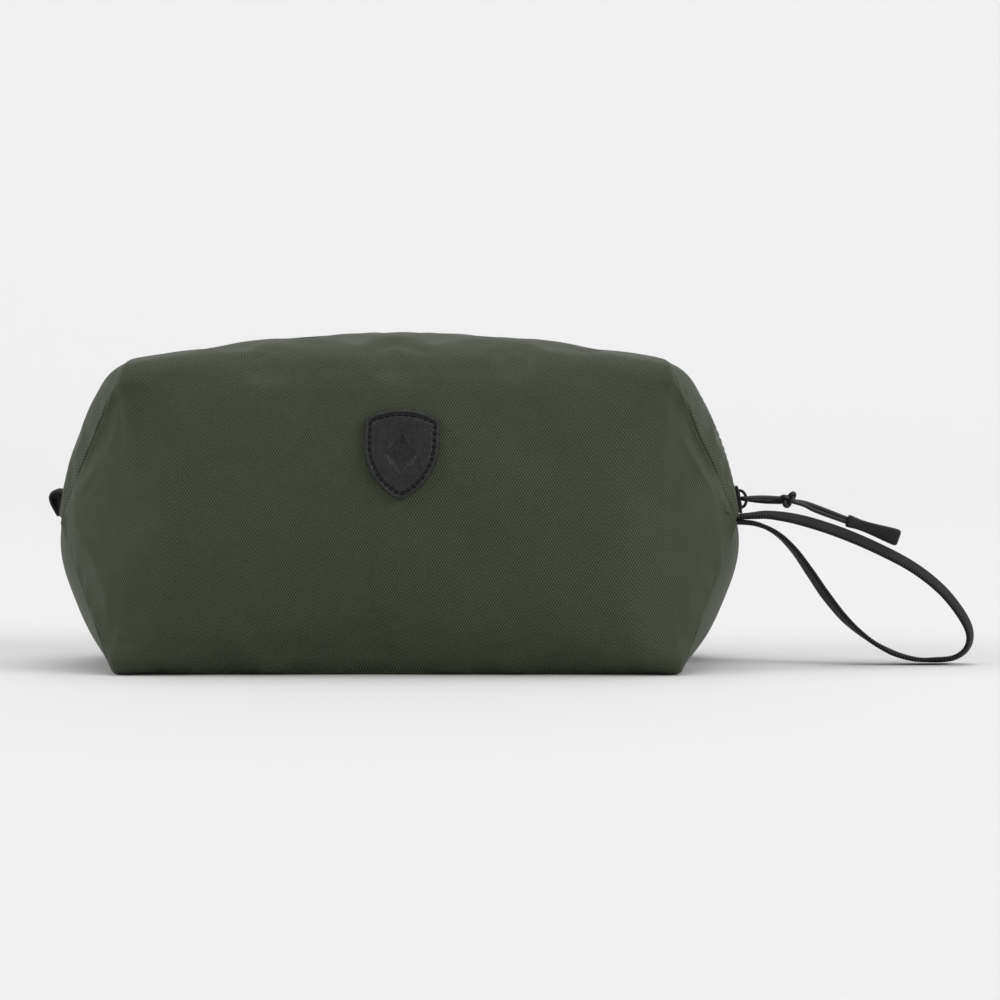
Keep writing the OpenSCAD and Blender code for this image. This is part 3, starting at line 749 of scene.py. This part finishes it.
# The pinned panel fills out under a little pressure, and only a capped share of the motion is kept
def relaxCloth(piece, seed):
    mesh = piece.data
    start = [v.co.copy() for v in mesh.vertices]
    share = mesh.attributes["share"].data
    pins = piece.vertex_groups.new(name="pins")
    for v, mark in zip(mesh.vertices, share):
        s, t = mark.vector[0], mark.vector[1]
        atEnd = abs(2 * s - 1) > 0.66 and (abs(t - 0.25) < 0.012 or t > 0.97)
        onEdge = t < 0.06 or t > 0.985 or s < 0.005 or s > 0.995
        pins.add([v.index], 1.0 if onEdge or atEnd else 0.0, "REPLACE")
    modifier = addModifier(piece, "CLOTH")
    settings = modifier.settings
    settings.quality = 6
    settings.mass = 0.2
    settings.tension_stiffness = 18
    settings.compression_stiffness = 18
    settings.shear_stiffness = 6
    settings.bending_stiffness = 2.5
    settings.use_pressure = True
    settings.uniform_pressure_force = panel["pressure"]
    settings.shrink_min = -0.012
    settings.vertex_group_mass = "pins"
    settings.effector_weights.gravity = 0
    scene = bpy.context.scene
    for number in range(1, panel["frames"] + 1):
        scene.frame_set(number)
    settled = piece.evaluated_get(bpy.context.evaluated_depsgraph_get()).to_mesh()
    ends = [v.co.copy() for v in settled.vertices]
    scene.frame_set(1)
    piece.modifiers.clear()
    for v, a, b in zip(mesh.vertices, start, ends):
        move = b - a
        if move.length > panel["cap"]:
            move *= panel["cap"] / move.length
        v.co = a + move * panel["keep"]
    mesh.update()


# One ply of a panel: a strip of the settled cloth, pushed in and given its thickness
def makePly(name, source, look, slot, node, low, high, reach, depth, thickness, levels, mirror=False):
    corner = 0.33 if depth else 0
    bm = bmesh.new()
    bm.from_mesh(source.data)
    marks = bm.verts.layers.float_vector["share"]
    spare = []
    for v in bm.verts:
        s, t = abs(2 * v[marks].x - 1), v[marks].y
        if t < low or t > high or s > reach or (s * zipReach > 0.9 * arcLengths[0] and t < corner):
            spare.append(v)
    bmesh.ops.delete(bm, geom=spare, context="VERTS")
    bm.normal_update()
    for v in bm.verts:
        v.co -= v.normal * depth
    if mirror:
        for v in bm.verts:
            v.co.y = -v.co.y
        bmesh.ops.reverse_faces(bm, faces=bm.faces)
    piece = newObject(name, bm, look)
    if levels:
        addModifier(piece, "SUBSURF", levels=levels, render_levels=levels)
    addModifier(piece, "SOLIDIFY", thickness=thickness, offset=-1, use_even_offset=False)
    return finishPiece(piece, "bag", slot, [node])


def makeBase(look, foam, lining):
    plies = [("base_cloth", look, "coated_cloth", "base_shell", 0.0, 0.9 * mm, 1),
             ("base_padding", foam, "foam", "base_foam", 1.05 * mm, 2 * mm, 0),
             ("base_inner_cloth", lining, "lining", "base_lining", 3.2 * mm, 0.4 * mm, 0)]
    for name, finish, slot, node, depth, thickness, levels in plies:
        bm = laidGrid(110, 34, basePoint, lambda s, t: ((2 * s - 1) * 172 * mm, t * 96 * mm))
        bm.normal_update()
        if sum(f.normal.z for f in bm.faces) > 0:
            bmesh.ops.reverse_faces(bm, faces=bm.faces)
            bm.normal_update()
        if depth:
            cut = [v for v in bm.verts if v.co.z > 30 * mm]
            bmesh.ops.delete(bm, geom=cut, context="VERTS")
            bm.normal_update()
            for v in bm.verts:
                v.co.y *= 0.94
        for v in bm.verts:
            v.co -= v.normal * depth
        piece = newObject(name, bm, finish)
        if levels:
            addModifier(piece, "SUBSURF", levels=levels, render_levels=levels)
        addModifier(piece, "SOLIDIFY", thickness=thickness, offset=-1)
        finishPiece(piece, "bag", slot, [node])


clothLook = coatedCloth()
foamFinish = foamLook()
liningFinish = wovenBlack("lining_cloth", 0.3 * mm, 26, 44, 0.65, 0.05 * mm)
for side, seed in (("front", 1), ("back", 2)):
    source = makePanelCloth(side, seed)
    mirrored = side == "back"
    makePly(side + "_panel", source, clothLook, "coated_cloth", side + "_shell",
            0, 1, 1, 0, bag["clothThickness"], 1, mirrored)
    makePly(side + "_padding", source, foamFinish, "foam", side + "_foam",
            0.08, 0.93, 0.8, 1.3 * mm, 1.8 * mm, 0, mirrored)
    makePly(side + "_inner_cloth", source, liningFinish, "lining", side + "_lining",
            0.05, 0.93, 0.8, 3.5 * mm, 0.4 * mm, 0, mirrored)
    if side == "front":
        settled = bmesh.new()
        settled.from_mesh(source.data)
        frontTree = BVHTree.FromBMesh(settled)
        settled.free()
    bpy.data.objects.remove(source)
    print(side, "panel done")
makeBase(clothLook, foamFinish, liningFinish)
print("base done")

# zip tape, coil and stitching
zipper = dict(tapeWidth=15 * mm, tapeThickness=0.6 * mm, tapeLevel=-1.05 * mm, coilPitch=1.15 * mm,
              coilReach=3.1 * mm, coilLevel=-0.12 * mm, wire=0.42 * mm, stitch=3.1 * mm, gap=0.7 * mm)


def zipPoint(distance, y, level):
    place, out = zipPlace(distance)
    return place + out * level + Vector((0, y, 0))


def makeTape(side, look):
    sign = -1 if side == "front" else 1
    inner, outer = 0.5 * mm, zipper["tapeWidth"]

    def shape(s, t):
        y = sign * lerp(inner, outer, t)
        return zipPoint((2 * s - 1) * zipReach, y, zipper["tapeLevel"])

    bm = laidGrid(160, 10, shape, lambda s, t: ((2 * s - 1) * zipReach, t * zipper["tapeWidth"]))
    bm.normal_update()
    if sum(f.normal.z for f in bm.faces) < 0:
        bmesh.ops.reverse_faces(bm, faces=bm.faces)
    piece = newObject("zip_tape_woven_" + side, bm, look)
    addModifier(piece, "SOLIDIFY", thickness=zipper["tapeThickness"], offset=-1)
    finishPiece(piece, "bag", "zip_tape", ["zip_tape_" + side])


# A closed six-sided wire through rings, each given by its centre, two axes and radius
def wireMesh(rings):
    def shape(s, t):
        centre, across, up, radius = rings[round(s * (len(rings) - 1))]
        turn = t * 2 * math.pi
        return centre + radius * (math.cos(turn) * across + math.sin(turn) * up)

    bm = laidGrid(len(rings) - 1, 6, shape, lambda s, t: (s, t))
    closeTube(bm)
    return bm


# One nylon loop of the coil: a bent wire from the tape's edge to its locking head
def coilLoop(distance, sign):
    reach, head = zipper["coilReach"], -0.45 * mm
    top = zipper["coilLevel"]
    points = [(reach, top - 0.75 * mm, 0.3), (reach + 0.1 * mm, top, 0.15),
              (reach * 0.6, top + 0.25 * mm, 0.05), (0.5 * mm, top + 0.2 * mm, 0.0),
              (head, top, 0.0), (head + 0.1 * mm, top - 0.6 * mm, 0.0)]
    out = zipPlace(distance)[1]
    along = Vector((0, 1, 0)).cross(out)
    rings = []
    for index, (y, level, lag) in enumerate(points):
        before, after = points[max(index - 1, 0)], points[min(index + 1, len(points) - 1)]
        way = Vector((0, sign * (after[0] - before[0]), 0)) + out * (after[1] - before[1])
        swell = 1.25 if y == head else 1.0
        rings.append((zipPoint(distance + lag * zipper["coilPitch"], sign * y, level), along,
                      way.normalized().cross(along), zipper["wire"] * swell))
    return wireMesh(rings)


def makeCoil(side, look):
    sign = -1 if side == "front" else 1
    shift = 1.5 if sign > 0 else 1.0
    pitch = zipper["coilPitch"]
    loops = [coilLoop(-zipReach + (i + shift) * pitch, sign) for i in range(int(2 * zipReach / pitch) - 2)]
    piece = newObject("zip_coil_loops_" + side, joinMeshes(loops), look)
    finishPiece(piece, "bag", "zip_coil", ["zip_coil_" + side])


# A stitch is a short thread that dives into the cloth at both ends
def stitchMesh(start, end, out, radius, lift):
    across = (end - start).cross(out).normalized()
    profile = [(0, -0.6, 0.5), (0.12, 0.5, 0.95), (0.5, 1.0, 1.0), (0.88, 0.5, 0.95), (1, -0.6, 0.5)]
    return wireMesh([(lerp(start, end, share) + out * lift * rise, across, out, radius * size)
                     for share, rise, size in profile])


def makeZipStitching(side, look):
    y = 8 * mm if side == "back" else -8 * mm
    stitches = []
    distance = -zipReach + 1 * mm
    while distance < zipReach - 4 * mm:
        a, b = distance, distance + zipper["stitch"] - zipper["gap"]
        stitches.append(stitchMesh(zipPoint(a, y, 0.08 * mm), zipPoint(b, y, 0.08 * mm), zipPlace(a)[1],
                                   0.2 * mm, 0.12 * mm))
        distance += zipper["stitch"]
    piece = newObject("zip_topstitch_" + side, joinMeshes(stitches), look)
    finishPiece(piece, "bag", "thread", ["zip_stitching_" + side])


tapeLook = wovenBlack("zip_tape_weave", 0.55 * mm, 15, 33)
coilFinish = coilLook()
greenThread = threadLook("green_thread", srgb(34, 38, 30), srgb(58, 64, 50))
for side in ("front", "back"):
    makeTape(side, tapeLook)
    makeCoil(side, coilFinish)
    makeZipStitching(side, greenThread)
print("zip done")

# slider and its bridge
hinge = Vector(joints["pull_swing"]["pos_m"])
sliderTurn = math.atan2(hinge.z - gussetCentre.y, hinge.x - gussetCentre.x)
sliderOut = Vector((math.cos(sliderTurn), 0, math.sin(sliderTurn)))
sliderUp = Vector((-math.sin(sliderTurn), 0, math.cos(sliderTurn)))
slide = dict(length=11 * mm, front=9.2 * mm, back=7.4 * mm, plate=1.0 * mm, floor=0.9 * mm,
             under=-3.0 * mm, crownWidth=2.4 * mm)


# From the slider's own axes, out of the bag, across it and up along the zip, to the frame
def sliderPoint(out, across, up):
    centre = Vector((gussetCentre.x, 0, gussetCentre.y)) + sliderOut * bag["gussetRadius"]
    return centre + sliderOut * out + Vector((0, across, 0)) + sliderUp * up


def addPlate(bm, low, high, widthDown, widthUp, length, bevel, shift=lambda z: 0):
    made = bmesh.ops.create_cube(bm, size=1)
    for v in made["verts"]:
        width = widthUp if v.co.z > 0 else widthDown
        v.co = (lerp(low, high, v.co.x + 0.5), v.co.y * width + shift(v.co.z), v.co.z * length)
    edges = list({e for v in made["verts"] for e in v.link_edges})
    bmesh.ops.bevel(bm, geom=edges, offset=bevel, segments=3, profile=0.5, affect="EDGES", material=-1)


def makeSlider(look):
    bm = bmesh.new()
    floor, plate = slide["floor"], slide["plate"]
    for low in (floor, slide["under"]):
        addPlate(bm, low, low + plate, slide["front"], slide["back"], slide["length"], 0.35 * mm)
    for sign in (-1, 1):
        addPlate(bm, -0.8 * mm, floor + 0.3 * mm, 1.0 * mm, 1.0 * mm, slide["length"] - 0.6 * mm, 0.2 * mm,
                 lambda z: sign * (lerp(slide["front"], slide["back"], z + 0.5) / 2 - 0.52 * mm))
    foot = floor + plate
    addPlate(bm, foot - 0.05 * mm, foot + 0.45 * mm, 3.2 * mm, 2.6 * mm, 8.2 * mm, 0.2 * mm)
    for v in bm.verts:
        v.co = sliderPoint(*v.co)
    bmesh.ops.recalc_face_normals(bm, faces=bm.faces)
    piece = newObject("zip_slider", bm, look)
    finishPiece(piece, "slider", "black_metal", ["slider_body"])


def makeCrown(look):
    level = (hinge - Vector((gussetCentre.x, 0, gussetCentre.y))).length - bag["gussetRadius"]
    points = []
    for i in range(15):
        angle = lerp(-1.15, 1.15, i / 14)
        rise = 1.4 * mm * (math.cos(angle) - 0.41) / 0.59
        points.append(sliderPoint(level + rise, 0, 3.4 * mm * math.sin(angle)))
    foot = slide["floor"] + slide["plate"]
    points = [sliderPoint(foot, 0, -3.6 * mm)] + points + [sliderPoint(foot, 0, 3.6 * mm)]
    line = Line(smoothLine(points, 3))

    def section(angle, distance):
        return blunt(angle, slide["crownWidth"] / 2, 0.6 * mm, 0.5, 0.6)

    piece = newObject("slider_bridge", tubeMesh(line, 60, 16, section), look)
    finishPiece(piece, "slider", "black_metal", ["slider_crown"])


metal = metalLook()
makeSlider(metal)
makeCrown(metal)
print("slider done")

# cord pull: the knot's and the grip's places in millimetres, and the grip's slope
pull = dict(cord=1.8 * mm, knot=(154.8, 1, 65.2), grip=(179.2, 4, 57), slope=math.radians(19))


def cordTube(points, steps=6):
    line = Line(smoothLine(points, steps))
    radius = pull["cord"] / 2
    columns = max(12, int(line.length / (0.5 * mm)))

    def section(angle, distance):
        return radius * math.cos(angle), radius * math.sin(angle)

    return tubeMesh(line, columns, 14, section, girth=2 * math.pi * radius, turned=True)


def makePull(look, rubber):
    knot, grip = Vector(pull["knot"]) * mm, Vector(pull["grip"]) * mm
    half = [(knot.x - 2.0 * mm, -0.5 * mm, 0.7 * mm), ((knot.x + hinge.x) / 2, -1.0 * mm, 0.85 * mm),
            (hinge.x + 3.2 * mm, -2.1 * mm, 0.5 * mm), (hinge.x + 0.8 * mm, -2.2 * mm, 0.0),
            (hinge.x, -1.2 * mm, 0.0)]

    def level(x):
        return lerp(hinge.z, knot.z, (x - hinge.x) / (knot.x - hinge.x))

    route = [(x, y, level(x) + z) for x, y, z in half]
    route += [(x, -y, level(x) - z) for x, y, z in reversed(half)]
    piece = newObject("pull_loop", cordTube(route), look)
    finishPiece(piece, "pull", "cord", ["pull_cord"])

    # an overhand knot tied with both strands, and the small bight that stands out of it
    strands = []
    for shift in (-0.75, 0.75):
        points = []
        for i in range(48):
            a = 2 * math.pi * i / 48
            x = (math.sin(a) + 2 * math.sin(2 * a)) * 0.82 * mm
            z = (math.cos(a) - 2 * math.cos(2 * a)) * 0.74 * mm
            y = -math.sin(3 * a) * 0.95 * mm + shift * mm
            points.append(Vector((knot.x + x, y + 0.2 * mm, knot.z + z)))
        strands.append(cordTube(points + points[:1], 2))
    bight = [(0.8, 0.3, 1.2), (1.9, -0.6, 2.7), (2.9, 0.2, 2.6), (2.6, 0.9, 0.9)]
    strands.append(cordTube([Vector((knot.x, 0, knot.z)) + Vector(p) * mm for p in bight], 5))
    finishPiece(newObject("pull_overhand_knot", joinMeshes(strands), look), "pull", "cord", ["pull_knot"])

    middle = lerp(knot, grip, 0.5) + Vector((0, 0, 0.5 * mm))
    tails = []
    for sign in (-1, 1):
        side = Vector((0, sign * 0.45 * mm, sign * 0.85 * mm))
        start = Vector((knot.x + 1.6 * mm, sign * 0.7 * mm, knot.z - 0.2 * mm))
        into = grip + Vector((1.5 * mm, 0, -0.5 * mm))
        arch = lerp(start, middle + side, 0.5) + Vector((0, 0, 0.5 * mm))
        tails.append(cordTube([start, arch, middle + side, grip + side * 0.8, into + side * 0.8]))
    finishPiece(newObject("pull_cord_tail", joinMeshes(tails), look), "pull_tip", "cord", ["pull_tail"])

    # the moulded end: square collar, waist and a wider rounded tip
    way = Vector((math.cos(pull["slope"]), 0, -math.sin(pull["slope"])))
    profile = [(0, 2.0), (0.12, 2.35), (0.5, 2.5), (1.6, 2.5), (2.6, 2.35), (5, 2.15), (8, 2.2), (12, 2.55),
               (17, 3.1), (20, 3.35), (21.2, 3.3), (21.8, 2.95), (22, 2.4)]
    line = Line([grip + way * x * mm for x, radius in profile])

    def section(angle, distance):
        for (x0, r0), (x1, r1) in zip(profile, profile[1:]):
            if distance / mm <= x1 + 1e-6:
                radius = lerp(r0, r1, (distance / mm - x0) / (x1 - x0)) * mm
                break
        deep = radius * lerp(0.98, 0.8, smooth(distance / (12 * mm)))
        return blunt(angle, deep, radius, 0.42, 0.42)

    piece = newObject("pull_grip", tubeMesh(line, 110, 48, section), rubber)
    finishPiece(piece, "pull_tip", "grip", ["pull_end"])


makePull(cordLook(), rubberLook())
print("pull done")

# folded tab in the left end seam
tab = dict(width=20 * mm, thickness=1.1 * mm, lean=math.radians(99))


def makeTab(look):
    foot = Vector((-(endTip + 0.1 * mm), 0, bag["endHeight"] + 1.5 * mm))
    way = Vector((math.cos(tab["lean"]), 0, math.sin(tab["lean"])))
    side = Vector((-way.z, 0, way.x))
    loop = [(0, 0.5), (2.5, 1.4), (5.5, 2.4), (8.2, 2.5), (9.6, 1.0), (9.3, -0.9), (7.2, -1.5),
            (3.5, -0.9), (0, -0.4)]
    line = Line(smoothLine([foot + way * a * mm + side * b * mm for a, b in loop], 5))

    def shape(s, t):
        narrowing = 1 - 0.16 * smooth(abs(2 * t - 1) * 3 - 2)
        point = line.at(s * line.length)[0]
        middle = foot + way * 5 * mm
        return middle + (point - middle) * narrowing + Vector((0, (t - 0.5) * tab["width"], 0))

    bm = laidGrid(48, 24, shape, lambda s, t: (s * line.length, t * tab["width"]))
    piece = newObject("folded_tab", bm, look)
    addModifier(piece, "SOLIDIFY", thickness=tab["thickness"] * 1.5, offset=0)
    addModifier(piece, "SUBSURF", levels=1, render_levels=1)
    finishPiece(piece, "bag", "binding", ["end_tab"])


makeTab(wovenBlack("tab_tape", 0.6 * mm, 10, 24))
print("tab done")

# leather patch: a shield outline of three arcs, with a pressed lozenge
patch = dict(width=28.5 * mm, height=34.5 * mm, thickness=2.0 * mm, turn=math.radians(-2), arch=27 * mm,
             waist=4 * mm, lozenge=7.6 * mm, stitches=36)
patchLow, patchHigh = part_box("shield_patch")
patchCentre = Vector((2.2 * mm, 0, (patchLow[2] + patchHigh[2]) / 2))


# Distance from the patch's middle to its edge in a direction, from the arcs of its outline
def shieldReach(angle, inset=0.0):
    half = patch["width"] / 2 - inset
    drop = patch["height"] / 2 + patch["waist"] - inset * 1.25
    sideRadius = (half * half + drop * drop) / (2 * half)
    way = Vector((math.cos(angle), math.sin(angle)))
    low, high = 0.0, 40 * mm
    for step in range(30):
        middle = (low + high) / 2
        x, y = abs(way.x * middle), way.y * middle
        inside = math.hypot(x, y - (patch["height"] / 2 - inset - patch["arch"])) <= patch["arch"]
        if y >= patch["waist"]:
            inside = inside and x <= half
        else:
            inside = inside and math.hypot(x + sideRadius - half, y - patch["waist"]) <= sideRadius
        low, high = (middle, high) if inside else (low, middle)
    return low


# Lays a point of the flat patch on the front face of the cloth
def onFace(a, b, height):
    turn = patch["turn"]
    x = patchCentre.x + a * math.cos(turn) - b * math.sin(turn)
    z = patchCentre.z + a * math.sin(turn) + b * math.cos(turn)
    hit, normal, index, distance = frontTree.ray_cast(Vector((x, -0.3, z)), Vector((0, 1, 0)))
    if normal.y > 0:
        normal = -normal
    return hit + normal * height


# Inset and height of each ring, from the patch's foot over its rolled rim and through the stitched groove
patchRings = [(0.0, 1.1), (0.08, 1.45), (0.25, 1.75), (0.5, 1.95), (0.8, 2.02), (1.1, 1.95), (1.3, 1.75),
              (1.4, 1.5), (2.35, 1.48), (2.45, 1.68), (2.8, 1.85), (3.4, 1.95), (6.0, 2.0)]


def makePatch(look):
    bm = bmesh.new()
    turn = bm.verts.layers.float.new("turn")
    bmesh.ops.create_circle(bm, cap_ends=True, radius=1, segments=240)
    for v in bm.verts:
        v[turn] = math.atan2(v.co.y, v.co.x)

    def setRing(verts, inset, height):
        for v in verts:
            reach = shieldReach(v[turn], inset * mm)
            v.co = (reach * math.cos(v[turn]), reach * math.sin(v[turn]), height * mm)

    setRing(bm.verts, 0.0, 0.0)
    top = bm.faces[:]
    for inset, height in patchRings:
        raised = bmesh.ops.extrude_face_region(bm, geom=top)
        bmesh.ops.delete(bm, geom=top, context="FACES_ONLY")
        top = [f for f in raised["geom"] if isinstance(f, bmesh.types.BMFace)]
        setRing({v for f in top for v in f.verts}, inset, height)
    # the lozenge is cut out of the field by four planes, and pressed in
    for slant in (1, -1):
        way = Vector((1.25, slant, 0)).normalized()
        for sign in (-1, 1):
            geom = top + list({e for f in top for e in f.edges}) + list({v for f in top for v in f.verts})
            cut = bmesh.ops.bisect_plane(bm, geom=geom, plane_co=way * sign * patch["lozenge"] * 0.625,
                                         plane_no=way)
            top = list({f for f in cut["geom"] if isinstance(f, bmesh.types.BMFace)})
    field = [min(top, key=lambda f: f.calc_center_median().xy.length)]
    for scale, drop in ((0.985, 0.04), (0.965, 0.3), (0.94, 0.42), (0.86, 0.45)):
        pressed = bmesh.ops.extrude_face_region(bm, geom=field)
        bmesh.ops.delete(bm, geom=field, context="FACES_ONLY")
        field = [f for f in pressed["geom"] if isinstance(f, bmesh.types.BMFace)]
        bmesh.ops.scale(bm, verts=list({v for f in field for v in f.verts}), vec=(scale, scale, 1))
        for v in {v for f in field for v in f.verts}:
            v.co.z = 2.0 * mm - drop * 1.8 * mm
    for axis in (0, 1):
        for i in range(-7, 8):
            plane = Vector((axis == 0, axis == 1, 0))
            bmesh.ops.bisect_plane(bm, geom=bm.verts[:] + bm.edges[:] + bm.faces[:],
                                   plane_co=plane * (i * 2.6 * mm + 0.1 * mm), plane_no=plane)
    bmesh.ops.remove_doubles(bm, verts=bm.verts, dist=1e-6)
    bmesh.ops.recalc_face_normals(bm, faces=bm.faces)
    for v in bm.verts:
        v.co = onFace(v.co.x, v.co.y, v.co.z + 0.1 * mm)
    piece = newObject("leather_shield", bm, look)
    finishPiece(piece, "bag", "leather", ["shield_patch"])


def makePatchStitches(look):
    groove = 1.98 * mm
    turns = [2 * math.pi * i / 720 for i in range(721)]
    line = Line([shieldReach(a, groove) * Vector((math.cos(a), math.sin(a), 0)) for a in turns])
    pitch = line.length / patch["stitches"]
    stitches = []
    for i in range(patch["stitches"]):
        a, b = line.at((i + 0.14) * pitch)[0], line.at((i + 0.86) * pitch)[0]
        start, end = onFace(a.x, a.y, 1.66 * mm), onFace(b.x, b.y, 1.66 * mm)
        out = (onFace(a.x, a.y, 3 * mm) - onFace(a.x, a.y, 0)).normalized()
        stitches.append(stitchMesh(start, end, out, 0.3 * mm, 0.2 * mm))
    finishPiece(newObject("patch_lockstitch", joinMeshes(stitches), look), "bag", "thread",
                ["patch_stitching"])


makePatch(leatherLook())
makePatchStitches(threadLook("black_thread", srgb(3, 3, 3), srgb(15, 15, 15)))
print("patch done")

# bindings keep their frame shape
bindingFinish = wovenBlack("seam_binding", 0.5 * mm, 16, 34, where="Object")
for node in ("corner_bindings", "end_bindings"):
    bound = frame["nodes"][node]
    bound.data.materials.clear()
    bound.data.materials.append(bindingFinish)
print("bindings done")
